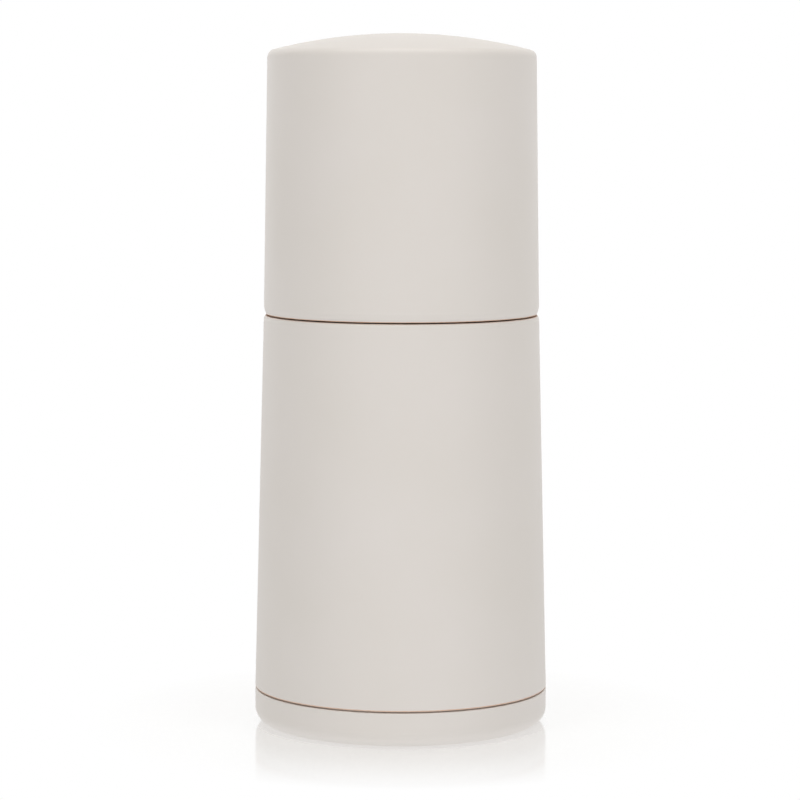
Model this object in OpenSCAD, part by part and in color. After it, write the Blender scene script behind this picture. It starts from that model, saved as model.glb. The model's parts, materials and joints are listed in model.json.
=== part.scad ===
// Twist spice mill. A tapered body carries a grating blade at its foot. The top turns on a collar in
// the body's mouth and drives a sprung plunger, whose claws press the spice on the blade and turn it.
// A base cap closes the blade end. Z is up, and the origin is the centre of the foot. Millimetres.

/* [Outside] */
// Height from the table to the crown of the top
mill_h = 142; // [140:0.5:150]
// Diameter at the seam above the base cap
base_d = 60.4; // [59:0.2:63]
// Diameter at the seam between the body and the top
seam_d = 56.6; // [56:0.2:58]
// Diameter of the top just under its rim
rim_d = 55; // [54:0.2:56]
// Height of the seam above the base cap
cap_seam_z = 7.5; // [6.6:0.1:8]
// Height of the seam between the body and the top
turn_seam_z = 84.6; // [83:0.2:87]
// Radius of the rounded edge that the base cap stands on
foot_edge_r = 3.2; // [2:0.2:4.6]
// Radius of the domed crown
crown_r = 106; // [80:1:160]
// Radius of the edge between the crown and the side
rim_edge_r = 1.7; // [0.6:0.1:2]
// Thickness of the moulded outer walls
wall = 2.4; // [2.2:0.1:2.6]

/* [Seams] */
// Open gap between the turning top and the body
turn_gap = 0.3; // [0.2:0.05:0.8]
// Shadow gap between the base cap and the body
cap_gap = 0.25; // [0.15:0.05:0.5]
// Radius of the soft edge along the bottom of the top
top_edge_r = 3.6; // [2:0.2:5]
// Radius of the soft edge along the mouth of the body
mouth_edge_r = 1.8; // [1:0.2:3]

/* [Grinding] */
// Bore of the chamber that the spice stands in
chamber_d = 34; // [32:0.5:35]
// Height of the blade's upper face
blade_z = 17; // [16.4:0.2:18]
// Thickness of the blade sheet
blade_t = 0.5; // [0.4:0.1:0.8]
// Rows of teeth round the blade
tooth_rows = 8; // [6:1:9]
// Teeth in each row
row_teeth = 6; // [4:1:6]
// Height of the teeth over the blade
tooth_h = 0.6; // [0.4:0.1:0.8]

/* [Plunger] */
// Distance that the plunger can be pushed up
plunger_travel = 36; // [28:1:36]
// Gap between the claws and the teeth when the mill is empty
claw_gap = 0.6; // [0.4:0.1:1]
// Length of the claws under their plate
claw_l = 4; // [3:0.2:4.6]
// Claws round the plate
claw_count = 6; // [4:1:6]
// Size of the hexagonal stem across its flats
stem_af = 6; // [5.4:0.2:6.4]

/* [Spring] */
// Diameter of the spring wire
spring_wire_d = 1.2; // [1:0.1:1.4]
// Diameter of the coil at the middle of the wire
spring_d = 17; // [16.6:0.1:17.4]
// Turns of the spring, its closed end turns included
spring_turns = 12; // [9:1:13]

/* [Hidden] */

$fn = 96;

// Colours
shell_colour = "#d8d4cd";
inner_colour = "#3b3a39";
chamber_colour = "#c9c6bf";
steel_colour = "#b9bcbf";
seal_colour = "#57534f";
washer_colour = "#eeece6";

// Fits
slide_fit = 0.15;
turn_fit = 0.1;
seal_fit = 0.05;
screw_fit = 0.1;
head_fit = 0.2;
play = 0.05;

// How far joined forms run into each other, and how far a cutter runs past a face
embed = 0.5;
past = 1;

// Radii of the outside
base_r = base_d / 2;
seam_r = seam_d / 2;
rim_r = rim_d / 2;
soft_edge = 0.25;
top_edge_depth = 0.5;
mouth_edge_depth = 0.35;
crown_centre_z = mill_h - crown_r;
rim_centre_r = rim_r - rim_edge_r;
rim_z = crown_centre_z + sqrt(pow(crown_r - rim_edge_r, 2) - pow(rim_centre_r, 2));

// Base cap
foot_recess = 0.6;
foot_inner_r = 21;
cap_edge_steps = 4;
cap_floor_z = 2.6;
cap_shoulder = 1;
cup_fillet = 2;
cap_top_z = cap_seam_z - cap_gap;
skirt_r = base_r - wall;
spigot_r = skirt_r - slide_fit;
cap_seal_d = 1.6;
cap_seal_r = skirt_r - seal_fit - cap_seal_d / 2;
cap_groove_r = cap_seal_r - cap_seal_d / 2;
cap_groove_z = cap_seam_z + 2.4;
groove_play = 0.2;
spigot_inner_r = cap_groove_r - 1.2;

// Blade and the ring that clamps it
ring_h = 3;
ring_z = blade_z - ring_h;
ring_r = skirt_r - 0.6;
spigot_z = ring_z - 0.4;
spigot_chamfer = 0.5;
blade_r = 20.8;
blade_rim = 0.1;
chamber_r = chamber_d / 2;
ring_window_r = chamber_r - 0.5;
ring_bevel = 1.2;
blade_screw_count = 3;
blade_screw_pcr = 24;
blade_screw_r = 1.1;
blade_screw_head_r = 2.1;
blade_screw_head_h = 1.5;
blade_screw_l = 8;
blade_notch_r = 0.9;

// Grating teeth, cut and raised from the sheet
tooth_w = 1.9;
tooth_window = 1.3;
tooth_root = 1.4;
tooth_lip = 0.35;
tooth_edge = 0.1;
tooth_first_r = 3.2;
tooth_last_r = chamber_r - 2.2;
row_sweep = 7;

// Body shell and chamber
web_t = 2.5;
boss_r = 2.8;
boss_h = 7;
boss_rib_t = 1.6;
pilot_room = 2;
flange_r = 21;
flange_t = 2;
web_hole_r = flange_r + slide_fit;
chamber_wall = 1.8;
tube_r = chamber_r + chamber_wall;
body_top_z = turn_seam_z - turn_gap / 2;
mouth_inset = 1.2;
socket_top_z = body_top_z - mouth_inset;
socket_depth = 8.2;
socket_floor_z = socket_top_z - socket_depth;
socket_under_z = socket_floor_z - 1.8;
socket_r = 25.4 + (seam_r - 28.2) - (wall - 2.4);
socket_bore_r = socket_r - 2.4;
ledge_r = socket_r - 2.1;
ledge_t = 2;
ledge_flat = 1.1;
lug_count = 3;
lug_t = 5;
lug_back = 0.4;
lug_reach = 0.9;
lug_h = 2;

// Collar that stays in the body's mouth while the top turns on it
key_count = 4;
key_w = 4;
key_reach = 1;
key_room = 0.3;
collar_r = socket_bore_r - slide_fit;
journal_r = 19.4;
collar_bore_r = journal_r + turn_fit;
collar_flange_h = 1.6;
collar_flange_r = socket_r - 0.8;
collar_top_z = socket_top_z + collar_flange_h;
collar_low_z = socket_floor_z + 1.8;
collar_lead = 0.6;
collar_seal_d = 1.5;
collar_seal_r = socket_bore_r - seal_fit - collar_seal_d / 2;
collar_groove_r = collar_seal_r - collar_seal_d / 2;
collar_groove_z = collar_low_z + 1;
key_low_z = collar_groove_z + collar_seal_d + groove_play + 0.6;
washer_t = 0.5;

// Hub that carries the drive
hub_z = collar_top_z + washer_t + play;
hub_t = 3;
hub_top_z = hub_z + hub_t;
hub_r = seam_r - wall - 0.2;
journal_low_z = socket_floor_z + 0.4;
journal_inner_r = 16.6;
journal_lead = 0.3;
hub_lead = 0.6;
clip_ring_t = 0.8;
clip_ring_z = collar_low_z - turn_fit - clip_ring_t;
clip_ring_inner_r = journal_r - 0.8;
clip_ring_r = journal_r + 1.5;
clip_ring_gap = 4;
spring_r = spring_d / 2;
spring_pin_r = 6.6;
guide_r = 7.5;
guide_h = 9;
guide_top_z = hub_top_z + guide_h;
hub_screw_count = 3;
hub_screw_pcr = 12.8;
hub_screw_r = 1.1;
hub_screw_head_r = 2.1;
hub_screw_head_h = 1.5;
hub_screw_l = 9;
post_r = 2.8;
post_h = 13;
post_rib_t = 1.6;
post_rib_rise = 8;
post_rib_drop = 2;
post_rib_inset = 0.6;
spring_washer_t = 0.5;
spring_washer_r = spring_r + 1.3;

// Plunger
claw_tip_z = blade_z + tooth_h + claw_gap;
claw_plate_t = 0.8;
claw_plate_z = claw_tip_z + claw_l;
claw_plate_r = 14;
claw_pcr = 10.5;
claw_w = 3.4;
claw_shoulder = 0.3;
head_z = claw_plate_z + claw_plate_t;
head_r = chamber_r - 1.2;
head_h = 6;
head_floor = 3.5;
head_hub_h = 9;
head_soft = 0.8;
head_rim_r = spring_r + 1.9;
stop_gap = 0.3;
spring_pin_low_z = head_z + head_hub_h + plunger_travel + stop_gap;
stem_r = stem_af / 2 / cos(30);
stem_fit = 0.1;
stem_clip_t = 0.8;
stem_clip_r = 5.4;
clip_lobe_r = 0.7;
clip_lobe_pcr = 3.3;
clip_mouth = 0.8;
stem_groove_r = stem_af / 2 - 0.6;
stem_end = 1.4;
stem_top_z = guide_top_z + stem_clip_t + stem_end;
stem_chamfer = 0.6;
claw_screw_r = 1.25;
claw_screw_head_r = 2.75;
claw_screw_head_h = 1.8;
claw_screw_l = 9;

// Spring
spring_low_z = head_z + head_floor;
spring_high_z = hub_z - spring_washer_t;
spring_sides = 6;
spring_rings = 8;
spring_end_gap = 0.6;

// Steps along the arcs of a turned outline
edge_steps = 8;
crown_steps = 12;

// Radius of the body's outside at a height
function body_r(z) = base_r + (seam_r - base_r) * (z - cap_seam_z) / (turn_seam_z - cap_seam_z);

// Radius of the top's outside at a height
function top_r(z) = seam_r + (rim_r - seam_r) * (z - turn_seam_z) / (rim_z - turn_seam_z);

// Direction at an angle from the radius towards the axis
function at_angle(a) = [cos(a), sin(a)];

// Points along an arc of a turned outline, each as radius and height
function arc(centre, r, from, to, steps) = [
    for (i = [0:steps]) centre + r * at_angle(from + (to - from) * i / steps)
];

// Height of a soft edge that is cut off where it has drawn in by a depth
function soft_edge_h(r, depth) = sqrt(r * r - pow(r - depth, 2));

// Outline of a domed end: the edge from the side, then the crown up to the axis
function domed_end(side_r, dome_r, edge_r) =
    let (
        centre_r = side_r - edge_r,
        centre_z = crown_centre_z + sqrt(pow(dome_r - edge_r, 2) - pow(centre_r, 2)),
        turn = atan2(centre_z - crown_centre_z, centre_r)
    )
    concat(
        arc([centre_r, centre_z], edge_r, 0, turn, edge_steps),
        [
            for (i = [1:crown_steps])
                [0, crown_centre_z] + dome_r * at_angle(turn + (90 - turn) * i / crown_steps)
        ]
    );

// The same points in the other order
function reverse(points) = [for (i = [len(points) - 1:-1:0]) points[i]];

// A solid turned from an outline of radius and height
module turned(points) {
    rotate_extrude() polygon(points);
}

// A turned ring of rectangular section
module ring(inner_r, outer_r, low_z, high_z) {
    turned([[inner_r, low_z], [outer_r, low_z], [outer_r, high_z], [inner_r, high_z]]);
}

// A round seal cord
module seal_cord(r, cord_d, z) {
    rotate_extrude() translate([r, z]) circle(d = cord_d, $fn = 32);
}

// A flat fin in a plane through the axis, from an outline of radius and height
module fin(points, thickness) {
    rotate([90, 0, 0]) linear_extrude(height = thickness, center = true) polygon(points);
}

// Copies round the axis
module around(count, start = 0) {
    for (i = [0:count - 1]) rotate(start + 360 * i / count) children();
}

// A pan head screw pointing up, with the seat of its head at the origin and a cross recess
module screw(head_r, head_h, shank_r, length) {
    head_edge = head_h * 0.6;
    recess_w = head_r / 3;
    recess_l = head_r * 1.15;
    recess_h = head_h * 0.6;
    tip_r = shank_r / 3;
    tip_h = shank_r * 0.9;
    difference() {
        turned(concat(
            [[0, -head_h]],
            arc([head_r - head_edge, head_edge - head_h], head_edge, -90, 0, cap_edge_steps),
            [[head_r, 0], [shank_r, 0], [shank_r, length - tip_h], [tip_r, length], [0, length]]
        ));
        for (a = [0, 90])
            rotate(a) translate([-recess_l / 2, -recess_w / 2, -head_h - past])
                cube([recess_l, recess_w, recess_h + past]);
    }
}

// Cup that closes the blade end, with a spigot that plugs into the body's skirt
module base_cap() color(shell_colour) difference() {
    turned(concat(
        [[0, foot_recess], [foot_inner_r, foot_recess], [foot_inner_r + foot_recess, 0]],
        arc([base_r - foot_edge_r, foot_edge_r], foot_edge_r, -90, 0, crown_steps),
        arc([base_r - soft_edge, cap_top_z - soft_edge], soft_edge, 0, 90, cap_edge_steps),
        [
            [base_r - cap_shoulder, cap_top_z], [base_r - cap_shoulder, cap_seam_z],
            [spigot_r, cap_seam_z], [spigot_r, spigot_z - spigot_chamfer],
            [spigot_r - spigot_chamfer, spigot_z], [spigot_inner_r, spigot_z]
        ],
        arc([spigot_inner_r - cup_fillet, cap_floor_z + cup_fillet], cup_fillet, 0, -90, edge_steps),
        [[0, cap_floor_z]]
    ));
    ring(cap_groove_r, spigot_r + past, cap_groove_z, cap_groove_z + cap_seal_d + groove_play);
}

module base_seal() color(seal_colour)
    seal_cord(cap_seal_r, cap_seal_d, cap_groove_z + cap_seal_d / 2);

// Outer shell of the body: a skirt below, a web that carries the blade ring, and a ledge under the mouth
module body_shell() color(shell_colour) difference() {
    edge_h = soft_edge_h(mouth_edge_r, mouth_edge_depth);
    edge_z = body_top_z - edge_h;
    edge_turn = asin(edge_h / mouth_edge_r);
    web_top_z = blade_z + web_t;
    boss_top_z = web_top_z + boss_h - embed;
    ledge_low_z = socket_under_z - ledge_t;
    ledge_root_r = body_r(ledge_low_z) - wall;
    ledge_drop = ledge_root_r - ledge_r - ledge_flat;
    union() {
        turned(concat(
            [[skirt_r, blade_z], [skirt_r, cap_seam_z]],
            arc([base_r - soft_edge, cap_seam_z + soft_edge], soft_edge, -90, 0, cap_edge_steps),
            arc([body_r(edge_z) - mouth_edge_r, edge_z], mouth_edge_r, 0, edge_turn, edge_steps),
            [
                [body_r(body_top_z) - wall, body_top_z], [body_r(socket_under_z) - wall, socket_under_z],
                [ledge_r, socket_under_z], [ledge_r, ledge_low_z], [ledge_r + ledge_flat, ledge_low_z],
                [ledge_root_r, ledge_low_z - ledge_drop],
                [body_r(web_top_z) - wall, web_top_z], [web_hole_r, web_top_z], [web_hole_r, blade_z]
            ]
        ));
        around(blade_screw_count) {
            translate([blade_screw_pcr, 0, web_top_z - embed]) cylinder(r = boss_r, h = boss_h);
            fin([
                [blade_screw_pcr, web_top_z - embed], [skirt_r, web_top_z - embed],
                [body_r(boss_top_z) - wall + embed, boss_top_z], [blade_screw_pcr, boss_top_z]
            ], boss_rib_t);
        }
    }
    around(blade_screw_count) translate([blade_screw_pcr, 0, blade_z - past])
        cylinder(r = blade_screw_r, h = blade_screw_l - ring_h + pilot_room + past, $fn = 32);
    translate([0, 0, blade_z]) cylinder(r = web_hole_r, h = boss_h + web_t);
}

// Tube that the spice stands in, with a socket for the collar at its mouth and lugs that snap under the
// body's ledge
module grinding_chamber() color(chamber_colour) {
    lead_in = 0.8;
    fin_r = ledge_r - lug_back;
    lug_top_z = socket_under_z - ledge_t - play;
    slot_r = collar_r + key_reach + key_room;
    difference() {
        turned([
            [chamber_r, blade_z], [flange_r, blade_z], [flange_r, blade_z + flange_t],
            [tube_r, blade_z + flange_t], [tube_r, socket_under_z], [socket_r, socket_under_z],
            [socket_r, socket_top_z], [socket_bore_r + lead_in / 2, socket_top_z],
            [socket_bore_r, socket_top_z - lead_in], [socket_bore_r, socket_floor_z],
            [chamber_r + lead_in, socket_floor_z], [chamber_r, socket_floor_z - lead_in]
        ]);
        around(key_count)
            translate([0, -key_w / 2 - slide_fit, key_low_z - slide_fit])
                cube([slot_r, key_w + 2 * slide_fit, socket_depth]);
    }
    around(lug_count, 30) fin([
        [tube_r - embed, socket_under_z], [tube_r - embed, lug_top_z - 3 * lug_h],
        [fin_r - lug_h, lug_top_z - lug_h], [fin_r, lug_top_z - lug_h],
        [fin_r + lug_reach, lug_top_z], [fin_r, lug_top_z], [fin_r, socket_under_z]
    ], lug_t);
}

// One tooth: a lip that rises out of the sheet towards the spice, over a window that gratings fall through
module tooth_lip_solid() translate([0, 0, blade_z]) rotate([90, 0, 90])
    linear_extrude(height = tooth_w, center = true) polygon([
        [-tooth_root, -blade_t / 2], [-tooth_root, 0], [tooth_lip, tooth_h],
        [tooth_lip + tooth_edge, tooth_h - tooth_edge], [-tooth_lip, -blade_t / 2]
    ]);

// Places a tooth at each step along rows that sweep round the blade, with every second row half a step out
module tooth_places() {
    step = (tooth_last_r - tooth_first_r) / (row_teeth - 0.5);
    for (row = [0:tooth_rows - 1], k = [0:row_teeth - 1])
        let (r = tooth_first_r + step * (k + (row % 2) / 2))
        rotate(360 * row / tooth_rows + row_sweep * k) translate([r, 0, 0]) children();
}

// Etched steel disc
module grater_blade() color(steel_colour) {
    difference() {
        translate([0, 0, blade_z - blade_t]) cylinder(r = blade_r, h = blade_t);
        tooth_places() translate([-tooth_w / 2, -tooth_lip, blade_z - blade_t - past])
            cube([tooth_w, tooth_window + tooth_lip, blade_t + 2 * past]);
        around(blade_screw_count) translate([blade_r, 0, blade_z - blade_t - past])
            cylinder(r = blade_notch_r, h = blade_t + 2 * past, $fn = 32);
    }
    tooth_places() tooth_lip_solid();
}

// Ring that clamps the blade from below, screwed to the body's web
module blade_ring() color(inner_colour) {
    difference() {
        turned([
            [ring_window_r + ring_bevel, ring_z], [ring_r, ring_z], [ring_r, blade_z],
            [blade_r + blade_rim, blade_z], [blade_r + blade_rim, blade_z - blade_t],
            [ring_window_r, blade_z - blade_t], [ring_window_r, ring_z + ring_bevel]
        ]);
        around(blade_screw_count) translate([blade_screw_pcr, 0, ring_z - past]) {
            cylinder(r = blade_screw_r + screw_fit, h = ring_h + 2 * past, $fn = 32);
            cylinder(r = blade_screw_head_r + head_fit, h = blade_screw_head_h + past, $fn = 32);
        }
    }
    around(blade_screw_count) translate([blade_r + blade_rim, 0, blade_z - blade_t])
        cylinder(r = blade_notch_r - blade_rim, h = blade_t, $fn = 32);
}

module blade_screws() color(steel_colour) around(blade_screw_count)
    translate([blade_screw_pcr, 0, ring_z + blade_screw_head_h])
        screw(blade_screw_head_r, blade_screw_head_h, blade_screw_r, blade_screw_l - blade_screw_head_h);

// Plain bearing in the body's mouth, keyed so that it stays still while the top turns
module bearing_collar() color(inner_colour) {
    difference() {
        turned([
            [collar_bore_r, collar_low_z], [collar_r - collar_lead, collar_low_z],
            [collar_r, collar_low_z + collar_lead], [collar_r, socket_top_z],
            [collar_flange_r, socket_top_z], [collar_flange_r, collar_top_z - collar_lead / 2],
            [collar_flange_r - collar_lead / 2, collar_top_z], [collar_bore_r, collar_top_z]
        ]);
        ring(
            collar_groove_r, collar_r + past,
            collar_groove_z, collar_groove_z + collar_seal_d + groove_play
        );
    }
    around(key_count) translate([collar_r - embed, -key_w / 2, key_low_z])
        cube([key_reach + embed, key_w, socket_top_z - key_low_z]);
}

module collar_seal() color(seal_colour)
    seal_cord(collar_seal_r, collar_seal_d, collar_groove_z + collar_seal_d / 2);

module glide_washer() color(washer_colour)
    ring(collar_bore_r + slide_fit, collar_flange_r - collar_lead, collar_top_z, collar_top_z + washer_t);

// Domed shell of the top, with screw posts on ribs inside
module top_shell() color(shell_colour) {
    edge_h = soft_edge_h(top_edge_r, top_edge_depth);
    edge_turn = asin(edge_h / top_edge_r);
    low_z = turn_seam_z + turn_gap / 2;
    edge_z = low_z + edge_h;
    inner_edge_r = 2;
    post_top_z = hub_top_z + post_h;
    rib_low_r = hub_r - 2 * slide_fit;
    rib_r = top_r(post_top_z) - wall + embed;
    rib_inner_r = hub_screw_pcr + post_r - embed;
    difference() {
        union() {
            turned(concat(
                [[top_r(low_z) - wall, low_z]],
                arc([top_r(edge_z) - top_edge_r, edge_z], top_edge_r, -edge_turn, 0, edge_steps),
                domed_end(rim_r, crown_r, rim_edge_r),
                reverse(domed_end(rim_r - wall, crown_r - wall, inner_edge_r))
            ));
            around(hub_screw_count) {
                translate([hub_screw_pcr, 0, hub_top_z]) cylinder(r = post_r, h = post_h, $fn = 48);
                fin([
                    [rib_inner_r, hub_top_z], [rib_low_r, hub_top_z], [rib_r, hub_top_z + post_rib_inset],
                    [rib_r, post_top_z + post_rib_rise], [rib_inner_r, post_top_z - post_rib_drop]
                ], post_rib_t);
            }
        }
        around(hub_screw_count) translate([hub_screw_pcr, 0, hub_top_z - past])
            cylinder(r = hub_screw_r, h = hub_screw_l - hub_t + pilot_room + past, $fn = 32);
    }
}

// A hexagonal bar, given its size across the flats
module hex_bar(across, low_z, high_z) {
    translate([0, 0, low_z]) cylinder(r = across / 2 / cos(30), h = high_z - low_z, $fn = 6);
}

// Hub fixed in the top: a plate, a journal that runs in the collar, a hexagonal guide for the stem, and a
// sleeve inside the spring that stops the plunger at the top of its travel
module drive_hub() color(inner_colour) difference() {
    turned([
        [0, spring_pin_low_z], [spring_pin_r - hub_lead, spring_pin_low_z],
        [spring_pin_r, spring_pin_low_z + hub_lead], [spring_pin_r, hub_z],
        [journal_inner_r, hub_z], [journal_inner_r, journal_low_z],
        [journal_r - journal_lead, journal_low_z], [journal_r, journal_low_z + journal_lead],
        [journal_r, hub_z], [hub_r - hub_lead, hub_z], [hub_r, hub_z + hub_lead], [hub_r, hub_top_z],
        [guide_r, hub_top_z], [guide_r, guide_top_z - hub_lead], [guide_r - hub_lead, guide_top_z],
        [0, guide_top_z]
    ]);
    hex_bar(stem_af + 2 * stem_fit, spring_pin_low_z - past, guide_top_z + past);
    ring(clip_ring_inner_r, journal_r + past, clip_ring_z, clip_ring_z + clip_ring_t);
    around(hub_screw_count) translate([hub_screw_pcr, 0, hub_z - past]) {
        cylinder(r = hub_screw_r + screw_fit, h = hub_t + 2 * past, $fn = 32);
        cylinder(r = hub_screw_head_r + head_fit, h = hub_screw_head_h + past, $fn = 32);
    }
}

module hub_screws() color(steel_colour) around(hub_screw_count)
    translate([hub_screw_pcr, 0, hub_z + hub_screw_head_h])
        screw(hub_screw_head_r, hub_screw_head_h, hub_screw_r, hub_screw_l - hub_screw_head_h);

// Open snap ring that keeps the collar on the journal
module retaining_ring() color(steel_colour) difference() {
    ring(clip_ring_inner_r + play, clip_ring_r, clip_ring_z, clip_ring_z + clip_ring_t);
    translate([0, -clip_ring_gap / 2, clip_ring_z - past])
        cube([clip_ring_r + past, clip_ring_gap, clip_ring_t + 2 * past]);
}

module spring_washer() color(steel_colour)
    ring(spring_pin_r + slide_fit, spring_washer_r, hub_z - spring_washer_t, hub_z);

// Height of the wire's centre at a share of a turn, with the end turns closed up
function spring_z(turn) =
    let (
        low = spring_low_z + spring_wire_d / 2,
        high = spring_high_z - spring_wire_d / 2,
        end_pitch = spring_wire_d + spring_end_gap,
        pitch = (high - low - 2 * end_pitch) / (spring_turns - 2)
    )
    turn < 1 ? low + end_pitch * turn
        : turn > spring_turns - 1 ? high - end_pitch * (spring_turns - turn)
        : low + end_pitch + pitch * (turn - 1);

function spring_centre(i) =
    let (turn = i / spring_rings)
    [spring_r * cos(360 * turn), spring_r * sin(360 * turn), spring_z(turn)];

// Index of a point of the wire's skin: side k of ring i
function at(i, k) = i * spring_sides + k % spring_sides;

// Helical compression spring: one wire, swept ring by ring round the stem
module pressure_spring() color(steel_colour) {
    last = spring_turns * spring_rings;
    wire_r = spring_wire_d / 2;
    points = [
        for (i = [0:last], k = [0:spring_sides - 1])
            let (a = 360 * i / spring_rings, b = 360 * k / spring_sides)
            spring_centre(i) + wire_r * (cos(b) * [cos(a), sin(a), 0] + sin(b) * [0, 0, 1])
    ];
    sides = [
        for (i = [0:last - 1], k = [0:spring_sides - 1], half = [0, 1])
            half == 0
                ? [at(i, k), at(i, k + 1), at(i + 1, k + 1)]
                : [at(i, k), at(i + 1, k + 1), at(i + 1, k)]
    ];
    ends = [
        for (k = [1:spring_sides - 2], end = [0, 1])
            end == 0
                ? [at(0, 0), at(0, k + 1), at(0, k)]
                : [at(last, 0), at(last, k), at(last, k + 1)]
    ];
    gaps = [
        for (i = [0:last - spring_rings], j = [i + spring_rings / 2:last])
            norm(spring_centre(i) - spring_centre(j)) - spring_wire_d
    ];
    echo(least_spring_gap = min(gaps));
    polyhedron(points = points, faces = concat(sides, ends));
}

// Hexagonal bar that turns the plunger and slides up through the hub
module drive_stem() color(steel_colour) difference() {
    intersection() {
        hex_bar(stem_af, head_z, stem_top_z);
        turned([
            [0, head_z], [stem_r + past, head_z], [stem_r + past, stem_top_z - stem_chamfer - past],
            [stem_r - stem_chamfer, stem_top_z], [0, stem_top_z]
        ]);
    }
    ring(stem_groove_r, stem_r + past, guide_top_z, guide_top_z + stem_clip_t);
    translate([0, 0, head_z - past]) cylinder(r = claw_screw_r, h = claw_screw_l + past, $fn = 32);
}

// Open clip that stops the stem on top of the hub's guide
module stem_clip() color(steel_colour) difference() {
    ring(stem_groove_r, stem_clip_r, guide_top_z, guide_top_z + stem_clip_t);
    translate([0, -stem_groove_r * clip_mouth, guide_top_z - past])
        cube([stem_clip_r + past, 2 * stem_groove_r * clip_mouth, stem_clip_t + 2 * past]);
    around(2, 90) translate([clip_lobe_pcr, 0, guide_top_z - past])
        cylinder(r = clip_lobe_r, h = stem_clip_t + 2 * past, $fn = 32);
}

// Head that seats the spring and holds the claw plate
module plunger_head() color(inner_colour) difference() {
    rim_z = head_z + head_h;
    floor_z = head_z + head_floor;
    hub_top = head_z + head_hub_h;
    turned([
        [0, head_z], [head_r - head_soft, head_z], [head_r, head_z + head_soft],
        [head_r, rim_z - 2 * head_soft], [head_r - 2 * head_soft, rim_z], [head_rim_r, rim_z],
        [head_rim_r, floor_z], [spring_pin_r, floor_z], [spring_pin_r, hub_top - head_soft],
        [spring_pin_r - head_soft, hub_top], [0, hub_top]
    ]);
    hex_bar(stem_af, head_z - past, hub_top + past);
}

// Steel plate with claws cut out of it and bent down
module claw_plate() color(steel_colour) {
    shoulder_h = claw_plate_t + claw_l * claw_shoulder;
    difference() {
        ring(claw_screw_r + slide_fit, claw_plate_r, claw_plate_z, claw_plate_z + claw_plate_t);
        around(claw_count) translate([claw_pcr + claw_plate_t / 2, -claw_w / 2, claw_plate_z - past])
            cube([claw_plate_r, claw_w, claw_plate_t + 2 * past]);
    }
    around(claw_count) translate([claw_pcr, 0, claw_plate_z + claw_plate_t]) rotate([90, 0, 90])
        linear_extrude(height = claw_plate_t, center = true) polygon([
            [-claw_w / 2, 0], [-claw_w / 2, -shoulder_h], [0, -claw_plate_t - claw_l],
            [claw_w / 2, -shoulder_h], [claw_w / 2, 0]
        ]);
}

module claw_screw() color(steel_colour) translate([0, 0, claw_plate_z])
    screw(claw_screw_head_r, claw_screw_head_h, claw_screw_r, claw_screw_l);

base_cap();
base_seal();
body_shell();
grinding_chamber();
grater_blade();
blade_ring();
blade_screws();
bearing_collar();
collar_seal();
glide_washer();
top_shell();
drive_hub();
hub_screws();
retaining_ring();
spring_washer();
pressure_spring();
drive_stem();
stem_clip();
plunger_head();
claw_plate();
claw_screw();
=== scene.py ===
import json
import math

import bmesh
import bpy
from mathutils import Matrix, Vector

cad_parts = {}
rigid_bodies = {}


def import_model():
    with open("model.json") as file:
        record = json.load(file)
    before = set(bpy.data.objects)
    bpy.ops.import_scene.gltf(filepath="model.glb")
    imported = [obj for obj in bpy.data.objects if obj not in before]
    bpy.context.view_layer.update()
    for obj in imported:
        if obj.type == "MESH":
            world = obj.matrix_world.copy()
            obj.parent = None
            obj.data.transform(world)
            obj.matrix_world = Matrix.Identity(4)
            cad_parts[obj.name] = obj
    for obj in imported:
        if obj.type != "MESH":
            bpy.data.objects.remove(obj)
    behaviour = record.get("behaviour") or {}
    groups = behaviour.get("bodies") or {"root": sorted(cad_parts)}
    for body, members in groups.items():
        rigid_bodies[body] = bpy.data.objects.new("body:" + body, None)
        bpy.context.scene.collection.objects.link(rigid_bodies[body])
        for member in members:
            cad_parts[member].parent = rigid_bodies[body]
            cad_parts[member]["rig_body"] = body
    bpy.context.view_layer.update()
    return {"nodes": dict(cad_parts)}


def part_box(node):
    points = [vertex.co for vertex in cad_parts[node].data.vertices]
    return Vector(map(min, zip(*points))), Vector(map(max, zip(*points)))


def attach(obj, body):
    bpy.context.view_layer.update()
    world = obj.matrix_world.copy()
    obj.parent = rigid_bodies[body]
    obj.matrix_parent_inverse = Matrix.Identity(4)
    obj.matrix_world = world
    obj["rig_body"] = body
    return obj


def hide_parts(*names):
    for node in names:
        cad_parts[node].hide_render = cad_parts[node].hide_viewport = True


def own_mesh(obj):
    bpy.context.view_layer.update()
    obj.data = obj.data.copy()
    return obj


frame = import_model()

MM = 0.001
SCENE = bpy.context.scene
BODY_OF = {node: piece["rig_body"] for node, piece in frame["nodes"].items()}

# Photograph's frame and the camera that took it
FRAME_PX = 800
FOCAL_PX = 3052.4
SENSOR_MM = 36
CAMERA_AT = (-0.0004, -0.627, 0.12776)
CAMERA_TILT = 5.55
CAMERA_ROLL = -0.13

# Floor: its size, and the distances from the mill between which it fades to plain white, in metres
FLOOR_SIZE = 6.0
FLOOR_FADE = (0.030, 0.066)
# Shares of its mirrored light and of its matt surface at the mill's foot
FLOOR_MIRROR = 0.58
FLOOR_MATT = 0.45
FLOOR_ROUGHNESS = 0.1

# Light of the surroundings, a little warm, beside the white that they show
WORLD_LIGHT = (0.135, 0.12, 0.09, 1)
WHITE = (1, 1, 1, 1)

# Soft boxes: where they stand, width and height in metres, and power in watts
LIT_POINT = (0, 0, 0.08)
SOFT_BOXES = {
    "front_left": ((-1.1, -1.1, 0.35), 0.8, 1.2, 9.0),
    "front_right": ((1.1, -1.1, 0.35), 0.8, 1.2, 9.9),
    "back_left": ((-0.75, 1.3, 0.4), 0.35, 1.4, 1.7),
    "back_right": ((0.75, 1.3, 0.4), 0.35, 1.4, 1.0),
    "back": ((0, 1.5, 0.5), 0.8, 1.2, 7.0),
    "top": ((0, -0.1, 1.4), 1.2, 1.2, 14.0),
}
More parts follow.
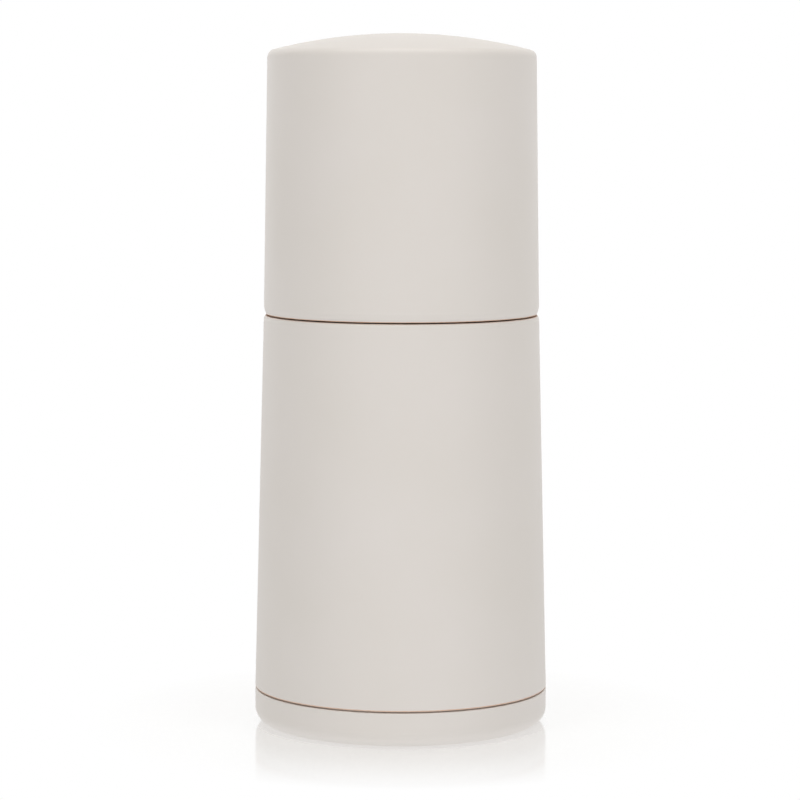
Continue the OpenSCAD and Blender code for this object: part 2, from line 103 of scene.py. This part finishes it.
# Soft boxes that leave no highlight
DIFFUSE_ONLY = ("front_left", "front_right", "back")

# Values between which nearly all of a noise texture lies
NOISE_LOW = 0.3
NOISE_HIGH = 0.7

# Painted shade in the mouths of the seams, a brown tint for the shadow in their gaps: its colour, the size of
# its patches in millimetres, and its least and most share in them
SEAM_SHADE_COLOUR = (200, 138, 80)
SEAM_SHADE_PATCH_MM = 0.8
SEAM_SHADE_PATCH_SHARES = (0.6, 1.0)
# Reach above and below the middle of a seam, and height above it where the painted shade is full, in
# millimetres
SEAM_SHADE_REACH = 0.34
SEAM_SHADE_FULL_REACH = 0.16
# Depth that the painted shade reaches in a seam, and depth where it starts to thin, in millimetres
SEAM_SHADE_DEPTH = 2.4
SEAM_SHADE_FULL_DEPTH = 0.5
# Share of painted shade at each seam
BASE_SEAM_SHADE = 0.7
TURN_SEAM_SHADE = 1.0

# Steel: its two tones, and the size of its lines and of the drift of tone in millimetres
STEEL_DARK = (186, 188, 190)
STEEL_LIGHT = (200, 201, 202)
STEEL_LINE_MM = 0.12
STEEL_CLOUD_MM = 5.0

# Angles in degrees over which an edge stays sharp, on round pieces and on sheet
ROUND_ANGLE = 32
SHEET_ANGLE = 12
# Distance in millimetres under which points are joined
WELD_MM = 0.002
# Soft edges: angle in degrees under which faces are joined first, and angle over which an edge is rounded
FLAT_ANGLE = 0.4
BEVEL_ANGLE = 40
BEVEL_SEGMENTS = 2
# Soft edges of the inner pieces, as wide as each can take, in millimetres
EDGE_MM = {
    "bearing_collar": 0.2,
    "plunger_head": 0.2,
    "blade_ring": 0.15,
    "drive_hub": 0.1,
    "glide_washer": 0.08,
    "claw_plate": 0.08,
    "drive_stem": 0.06,
    "retaining_ring": 0.06,
    "spring_washer": 0.06,
    "stem_clip": 0.06,
}

# Spring, in millimetres and turns
WIRE_D = 1.2
SPRING_TURNS = 12
SPRING_END_GAP = 0.6
RINGS_PER_TURN = 40
WIRE_SIDES = 16


def linear(red, green, blue):
    """A colour written as eight-bit display values, as the shader takes it."""
    def channel(value):
        share = value / 255
        return share / 12.92 if share <= 0.04045 else ((share + 0.055) / 1.055) ** 2.4
    return (channel(red), channel(green), channel(blue), 1.0)


# Nodes


def feed(tree, socket, value):
    """Sets a socket to a plain value, or links another socket to it."""
    if isinstance(value, bpy.types.NodeSocket):
        tree.links.new(value, socket)
    else:
        socket.default_value = value


def add_node(tree, kind, settings=None, **inputs):
    """A node with its settings and inputs. An input is a plain value or another node's socket."""
    node = tree.nodes.new(kind)
    for key, value in (settings or {}).items():
        setattr(node, key, value)
    for key, value in inputs.items():
        feed(tree, node.inputs[key.replace("_", " ")], value)
    return node


def calculate(tree, operation, *values):
    """Result of a sum on plain values and sockets."""
    made = add_node(tree, "ShaderNodeMath", {"operation": operation})
    for socket, value in zip(made.inputs, values):
        feed(tree, socket, value)
    return made.outputs["Value"]


def length_of(tree, vector):
    """Length of a vector."""
    return add_node(tree, "ShaderNodeVectorMath", {"operation": "LENGTH"}, Vector=vector).outputs["Value"]


def object_place(tree, stretch=(1, 1, 1)):
    """Position on the piece in millimetres, stretched by axis."""
    place = add_node(tree, "ShaderNodeTexCoord").outputs["Object"]
    scale = [factor / MM for factor in stretch]
    return add_node(tree, "ShaderNodeMapping", Vector=place, Scale=scale).outputs["Vector"]


def axis_distance(tree):
    """Distance from the mill's axis in millimetres."""
    return length_of(tree, object_place(tree, (1, 1, 0)))


def polar_place(tree):
    """Distance from the mill's axis as a position, so that a texture on it runs in rings."""
    return add_node(tree, "ShaderNodeCombineXYZ", X=axis_distance(tree)).outputs["Vector"]


def noise(tree, place, size_mm, detail=3.0, roughness=0.5):
    """Noise whose features are about that size."""
    return add_node(tree, "ShaderNodeTexNoise", Vector=place, Scale=1 / size_mm, Detail=detail,
                    Roughness=roughness).outputs["Fac"]


def spread(tree, value, low, high, start=NOISE_LOW, end=NOISE_HIGH):
    """A value from start to end, mapped to low to high."""
    return add_node(tree, "ShaderNodeMapRange", Value=value, From_Min=start, From_Max=end, To_Min=low,
                    To_Max=high).outputs["Result"]


def tint(tree, value, dark, light):
    """A colour that runs from dark to light with a noise."""
    ramp = add_node(tree, "ShaderNodeValToRGB", Fac=value)
    first, last = ramp.color_ramp.elements
    first.position, last.position = NOISE_LOW, NOISE_HIGH
    first.color, last.color = linear(*dark), linear(*light)
    return ramp.outputs["Color"]


def bump(tree, height, depth_mm):
    """A bump of that depth."""
    return add_node(tree, "ShaderNodeBump", Height=height, Distance=depth_mm * MM).outputs["Normal"]


# Materials


def new_material(name):
    """A material, its nodes and its shader."""
    material = bpy.data.materials.new(name)
    material.use_nodes = True
    tree = material.node_tree
    return material, tree, tree.nodes["Principled BSDF"]


def seam_shaded(tree, colour):
    """A colour with painted shade in the mouths of the two seams: a brown tint standing in for the shadow in
    the gaps, most of it on the upper lips.
    """
    body_low, body_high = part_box("body_shell")
    top_low, top_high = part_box("top_shell")
    seams = (
        (body_low.z, body_high.x, BASE_SEAM_SHADE),
        ((body_high.z + top_low.z) / 2, top_high.x, TURN_SEAM_SHADE),
    )
    height = add_node(tree, "ShaderNodeSeparateXYZ", Vector=object_place(tree)).outputs["Z"]
    radius = axis_distance(tree)
    shares = []
    for seam_z, seam_r, most in seams:
        level = calculate(tree, "SUBTRACT", height, seam_z / MM)
        below = spread(tree, level, 0.0, 1.0, -SEAM_SHADE_REACH, SEAM_SHADE_FULL_REACH)
        above = spread(tree, level, 1.0, 0.0, SEAM_SHADE_FULL_REACH, SEAM_SHADE_REACH)
        beside = calculate(tree, "MULTIPLY", below, above)
        within = spread(tree, radius, 0.0, most, seam_r / MM - SEAM_SHADE_DEPTH, seam_r / MM - SEAM_SHADE_FULL_DEPTH)
        shares.append(calculate(tree, "MULTIPLY", beside, within))
    patches = spread(tree, noise(tree, object_place(tree), SEAM_SHADE_PATCH_MM), *SEAM_SHADE_PATCH_SHARES)
    share = calculate(tree, "MULTIPLY", calculate(tree, "MAXIMUM", *shares), patches)
    # Mixes the painted seam shade into the colour
    mix = add_node(tree, "ShaderNodeMixRGB", Fac=share, Color1=colour, Color2=linear(*SEAM_SHADE_COLOUR))
    return mix.outputs["Color"]


def moulded_plastic(name, dark, light, roughness, grain_mm, grain_depth_mm, cloud_mm=14.0, seam_shade=False,
                    sockets=None):
    """Moulded plastic: a faint drift of tone, and the fine grain of the mould. Sockets holds plain values."""
    material, tree, shader = new_material(name)
    place = object_place(tree)
    grain = noise(tree, place, grain_mm, roughness=0.6)
    colour = tint(tree, noise(tree, place, cloud_mm), dark, light)
    # With the seam flag set, painted shade darkens the mouths of the seams in brown
    feed(tree, shader.inputs["Base Color"], seam_shaded(tree, colour) if seam_shade else colour)
    feed(tree, shader.inputs["Roughness"], spread(tree, grain, *roughness))
    feed(tree, shader.inputs["Normal"], bump(tree, grain, grain_depth_mm))
    for key, value in (sockets or {}).items():
        shader.inputs[key].default_value = value
    return material


def shell_plastic():
    """Soft matt plastic of the outside, warm pale grey, with painted shade along its seams."""
    return moulded_plastic(
        "shell_plastic", dark=(214, 209, 204), light=(216, 211, 207), roughness=(0.44, 0.56), grain_mm=0.16,
        grain_depth_mm=0.004, cloud_mm=22.0, seam_shade=True, sockets={"Specular IOR Level": 0.35})


def inner_plastic():
    """Charcoal plastic of the moving works, with a spark-eroded grain."""
    return moulded_plastic(
        "inner_plastic", dark=(50, 49, 48), light=(60, 58, 56), roughness=(0.5, 0.68), grain_mm=0.22,
        grain_depth_mm=0.02)


def chamber_plastic():
    """Satin light plastic of the grinding chamber."""
    return moulded_plastic(
        "chamber_plastic", dark=(196, 192, 184), light=(204, 200, 192), roughness=(0.34, 0.44), grain_mm=0.3,
        grain_depth_mm=0.006)


def washer_plastic():
    """Natural acetal of the glide washer, slightly waxy."""
    return moulded_plastic(
        "washer_plastic", dark=(236, 233, 224), light=(242, 239, 231), roughness=(0.36, 0.46), grain_mm=0.2,
        grain_depth_mm=0.004, sockets={"Subsurface Weight": 0.2, "Subsurface Scale": 1.0 * MM})


def seal_rubber():
    """Silicone of the seal cords."""
    return moulded_plastic(
        "seal_rubber", dark=(82, 77, 73), light=(94, 89, 84), roughness=(0.5, 0.62), grain_mm=0.12,
        grain_depth_mm=0.005)


def steel(name, roughness, lines=None, depth_mm=0.004):
    """Stainless steel with fine lines, in rings where lines isn't given. Lines stretches the noise by axis:
    a small number draws it out."""
    material, tree, shader = new_material(name)
    place = object_place(tree, lines) if lines else polar_place(tree)
    stroke = noise(tree, place, STEEL_LINE_MM, detail=4.0, roughness=0.65)
    cloud = noise(tree, object_place(tree), STEEL_CLOUD_MM)
    feed(tree, shader.inputs["Base Color"], tint(tree, cloud, STEEL_DARK, STEEL_LIGHT))
    feed(tree, shader.inputs["Roughness"], spread(tree, stroke, *roughness))
    feed(tree, shader.inputs["Normal"], bump(tree, stroke, depth_mm))
    shader.inputs["Metallic"].default_value = 1.0
    return material


# Finish of the CAD pieces


def smoothing_group(name, sharp_angle):
    """Node group that shades a mesh smooth except across edges over that angle, and drops stored normals."""
    group = bpy.data.node_groups.new(name, "GeometryNodeTree")
    for direction in ("INPUT", "OUTPUT"):
        group.interface.new_socket("Geometry", in_out=direction, socket_type="NodeSocketGeometry")
    start = add_node(group, "NodeGroupInput")
    bare = add_node(group, "GeometryNodeRemoveAttribute", Geometry=start.outputs["Geometry"],
                    Name="custom_normal")
    angle = add_node(group, "GeometryNodeInputMeshEdgeAngle")
    sharp = add_node(group, "FunctionNodeCompare", {"data_type": "FLOAT", "operation": "GREATER_THAN"})
    feed(group, sharp.inputs[0], angle.outputs["Unsigned Angle"])
    feed(group, sharp.inputs[1], math.radians(sharp_angle))
    faces = add_node(group, "GeometryNodeSetShadeSmooth", {"domain": "FACE"},
                     Geometry=bare.outputs["Geometry"], Shade_Smooth=True)
    edges = add_node(group, "GeometryNodeSetShadeSmooth", {"domain": "EDGE"},
                     Geometry=faces.outputs["Geometry"], Selection=sharp.outputs["Result"],
                     Shade_Smooth=False)
    add_node(group, "NodeGroupOutput", Geometry=edges.outputs["Geometry"])
    return group


def smooth(piece, shading):
    """Smooth shading with sharp edges kept, weighted to the larger faces."""
    piece.modifiers.new("smooth", "NODES").node_group = shading
    piece.modifiers.new("weighted", "WEIGHTED_NORMAL").keep_sharp = True


def weld(piece, name):
    """Joins points that lie together."""
    piece.modifiers.new(name, "WELD").merge_threshold = WELD_MM * MM


def soften_edges(piece, width_mm):
    """Rounds the sharp edges, after the flat faces are joined."""
    flat = piece.modifiers.new("flat", "DECIMATE")
    flat.decimate_type = "DISSOLVE"
    flat.angle_limit = math.radians(FLAT_ANGLE)
    bevel = piece.modifiers.new("edge", "BEVEL")
    bevel.width = width_mm * MM
    bevel.segments = BEVEL_SEGMENTS
    bevel.limit_method = "ANGLE"
    bevel.angle_limit = math.radians(BEVEL_ANGLE)
    bevel.use_clamp_overlap = False
    weld(piece, "edge_weld")


def dress(nodes, material, shading):
    """Gives CAD pieces their material, soft edges and smooth shading."""
    for node in nodes:
        piece = frame["nodes"][node]
        piece.data.materials.clear()
        piece.data.materials.append(material)
        weld(piece, "weld")
        if node in EDGE_MM:
            soften_edges(piece, EDGE_MM[node])
        smooth(piece, shading)


# Spring


def stand_for(node, bm, material):
    """A piece in place of a CAD node, on its body, with the node hidden."""
    mesh = bpy.data.meshes.new(node + "_look")
    bm.to_mesh(mesh)
    bm.free()
    mesh.materials.append(material)
    piece = bpy.data.objects.new(node + "_look", mesh)
    SCENE.collection.objects.link(piece)
    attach(piece, BODY_OF[node])
    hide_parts(node)
    return piece


def spring_mesh(low_z, high_z, coil_r):
    """One wire wound as a compression spring, with its end turns closed and ground flat."""
    wire_r = WIRE_D / 2
    end_pitch = WIRE_D + SPRING_END_GAP
    first_z, last_z = low_z + wire_r, high_z - wire_r
    pitch = (last_z - first_z - 2 * end_pitch) / (SPRING_TURNS - 2)

    def level(turn):
        if turn < 1:
            return first_z + end_pitch * turn
        if turn > SPRING_TURNS - 1:
            return last_z - end_pitch * (SPRING_TURNS - turn)
        return first_z + end_pitch + pitch * (turn - 1)

    bm = bmesh.new()
    rings = []
    for step in range(SPRING_TURNS * RINGS_PER_TURN + 1):
        turn = step / RINGS_PER_TURN
        out = Vector((math.cos(math.tau * turn), math.sin(math.tau * turn), 0))
        centre = out * coil_r + Vector((0, 0, level(turn)))
        ring = []
        for side in range(WIRE_SIDES):
            angle = math.tau * side / WIRE_SIDES
            point = centre + wire_r * (math.cos(angle) * out + math.sin(angle) * Vector((0, 0, 1)))
            point.z = min(max(point.z, low_z), high_z)
            ring.append(bm.verts.new(point * MM))
        rings.append(ring)
    for first, second in zip(rings, rings[1:]):
        for side in range(WIRE_SIDES):
            after = (side + 1) % WIRE_SIDES
            bm.faces.new((first[side], first[after], second[after], second[side]))
    bm.faces.new(rings[0])
    bm.faces.new(rings[-1])
    bmesh.ops.recalc_face_normals(bm, faces=bm.faces)
    return bm


def wind_spring(material, shading):
    """The spring between the plunger and the hub, wound as one fixed mesh; the real one shortens as the
    plunger rises.
    """
    low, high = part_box("pressure_spring")
    seat_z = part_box("spring_washer")[0].z
    bm = spring_mesh(low.z / MM, seat_z / MM, high.x / MM - WIRE_D / 2)
    piece = stand_for("pressure_spring", bm, material)
    smooth(piece, shading)
    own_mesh(piece)


# Stage


def seen_rays(tree):
    """1 for the rays that show the background: from the camera, off gloss and through glass."""
    path = add_node(tree, "ShaderNodeLightPath").outputs
    mirrored = calculate(tree, "MAXIMUM", path["Is Glossy Ray"], path["Is Transmission Ray"])
    return calculate(tree, "MAXIMUM", path["Is Camera Ray"], mirrored)


def mix_shaders(tree, share, first, second):
    """A shader that turns from the first to the second with the share."""
    mixed = add_node(tree, "ShaderNodeMixShader", Fac=share)
    feed(tree, mixed.inputs[1], first)
    feed(tree, mixed.inputs[2], second)
    return mixed.outputs["Shader"]


def floor_white():
    """White of a light table. It keeps the shadow and reflection near the mill, and is plain white beyond."""
    material, tree, matt = new_material("floor_white")
    matt.inputs["Base Color"].default_value = WHITE
    matt.inputs["Specular IOR Level"].default_value = 0
    distance = length_of(tree, add_node(tree, "ShaderNodeTexCoord").outputs["Object"])
    near = calculate(tree, "MULTIPLY", spread(tree, distance, 1.0, 0.0, *FLOOR_FADE), seen_rays(tree))
    matt_share = calculate(tree, "MULTIPLY", near, FLOOR_MATT)
    mirror_share = calculate(tree, "MULTIPLY", near, FLOOR_MIRROR)
    white = add_node(tree, "ShaderNodeEmission", Color=WHITE)
    mirror = add_node(tree, "ShaderNodeBsdfAnisotropic", Color=WHITE, Roughness=FLOOR_ROUGHNESS)
    plain = mix_shaders(tree, matt_share, white.outputs["Emission"], matt.outputs["BSDF"])
    mixed = mix_shaders(tree, mirror_share, plain, mirror.outputs["BSDF"])
    feed(tree, tree.nodes["Material Output"].inputs["Surface"], mixed)
    return material


def build_floor():
    """The floor that the mill stands on."""
    half = FLOOR_SIZE / 2
    corners = [(-half, -half, 0), (half, -half, 0), (half, half, 0), (-half, half, 0)]
    mesh = bpy.data.meshes.new("floor")
    mesh.from_pydata(corners, [], [(0, 1, 2, 3)])
    mesh.materials.append(floor_white())
    floor = bpy.data.objects.new("floor", mesh)
    SCENE.collection.objects.link(floor)


def build_world():
    """Surroundings that show white and light the mill evenly."""
    world = bpy.data.worlds.new("studio")
    SCENE.world = world
    world.use_nodes = True
    tree = world.node_tree
    colour = add_node(tree, "ShaderNodeMixRGB", Fac=seen_rays(tree), Color1=WORLD_LIGHT, Color2=WHITE)
    feed(tree, tree.nodes["Background"].inputs["Color"], colour.outputs["Color"])


def build_lights():
    """Soft boxes round the mill."""
    for name, (place, width, height, power) in SOFT_BOXES.items():
        light = bpy.data.lights.new(name, "AREA")
        light.shape = "RECTANGLE"
        light.size = width
        light.size_y = height
        light.energy = power
        lamp = bpy.data.objects.new(name, light)
        lamp.location = place
        lamp.rotation_euler = (Vector(LIT_POINT) - Vector(place)).to_track_quat("-Z", "Y").to_euler()
        lamp.visible_glossy = name not in DIFFUSE_ONLY
        SCENE.collection.objects.link(lamp)


def build_camera():
    """Camera at the photograph's viewing angle."""
    data = bpy.data.cameras.new("camera")
    data.sensor_width = SENSOR_MM
    data.lens = FOCAL_PX / FRAME_PX * SENSOR_MM
    camera = bpy.data.objects.new("camera", data)
    camera.location = CAMERA_AT
    camera.rotation_euler = (math.radians(90 - CAMERA_TILT), math.radians(CAMERA_ROLL), 0)
    SCENE.collection.objects.link(camera)
    SCENE.camera = camera


def build_mill():
    """The mill: its CAD pieces in their materials, and the spring."""
    rounded = smoothing_group("smooth_round", ROUND_ANGLE)
    sheet = smoothing_group("smooth_sheet", SHEET_ANGLE)
    drawn_steel = steel("drawn_steel", roughness=(0.24, 0.36), lines=(1, 1, 0.02))
    wire_steel = steel("wire_steel", roughness=(0.2, 0.26), lines=(0.4, 0.4, 0.4), depth_mm=0.001)
    sheet_steel = steel("sheet_steel", roughness=(0.3, 0.42), lines=(1, 0.03, 1))
    turned_steel = steel("turned_steel", roughness=(0.26, 0.38))
    screw_steel = steel("screw_steel", roughness=(0.24, 0.32), lines=(0.5, 0.5, 0.5), depth_mm=0.002)

    dress(("base_cap", "body_shell", "top_shell"), shell_plastic(), rounded)
    dress(("blade_ring", "bearing_collar", "drive_hub", "plunger_head"), inner_plastic(), rounded)
    dress(("grinding_chamber",), chamber_plastic(), rounded)
    dress(("glide_washer",), washer_plastic(), rounded)
    dress(("base_seal", "collar_seal"), seal_rubber(), rounded)
    dress(("grater_blade", "claw_plate"), sheet_steel, sheet)
    dress(("drive_stem",), drawn_steel, rounded)
    dress(("retaining_ring", "spring_washer", "stem_clip"), turned_steel, rounded)
    dress(("blade_screws", "hub_screws", "claw_screw"), screw_steel, rounded)
    wind_spring(wire_steel, rounded)


build_mill()
build_floor()
build_world()
build_lights()
build_camera()
SCENE.view_settings.view_transform = "Standard"
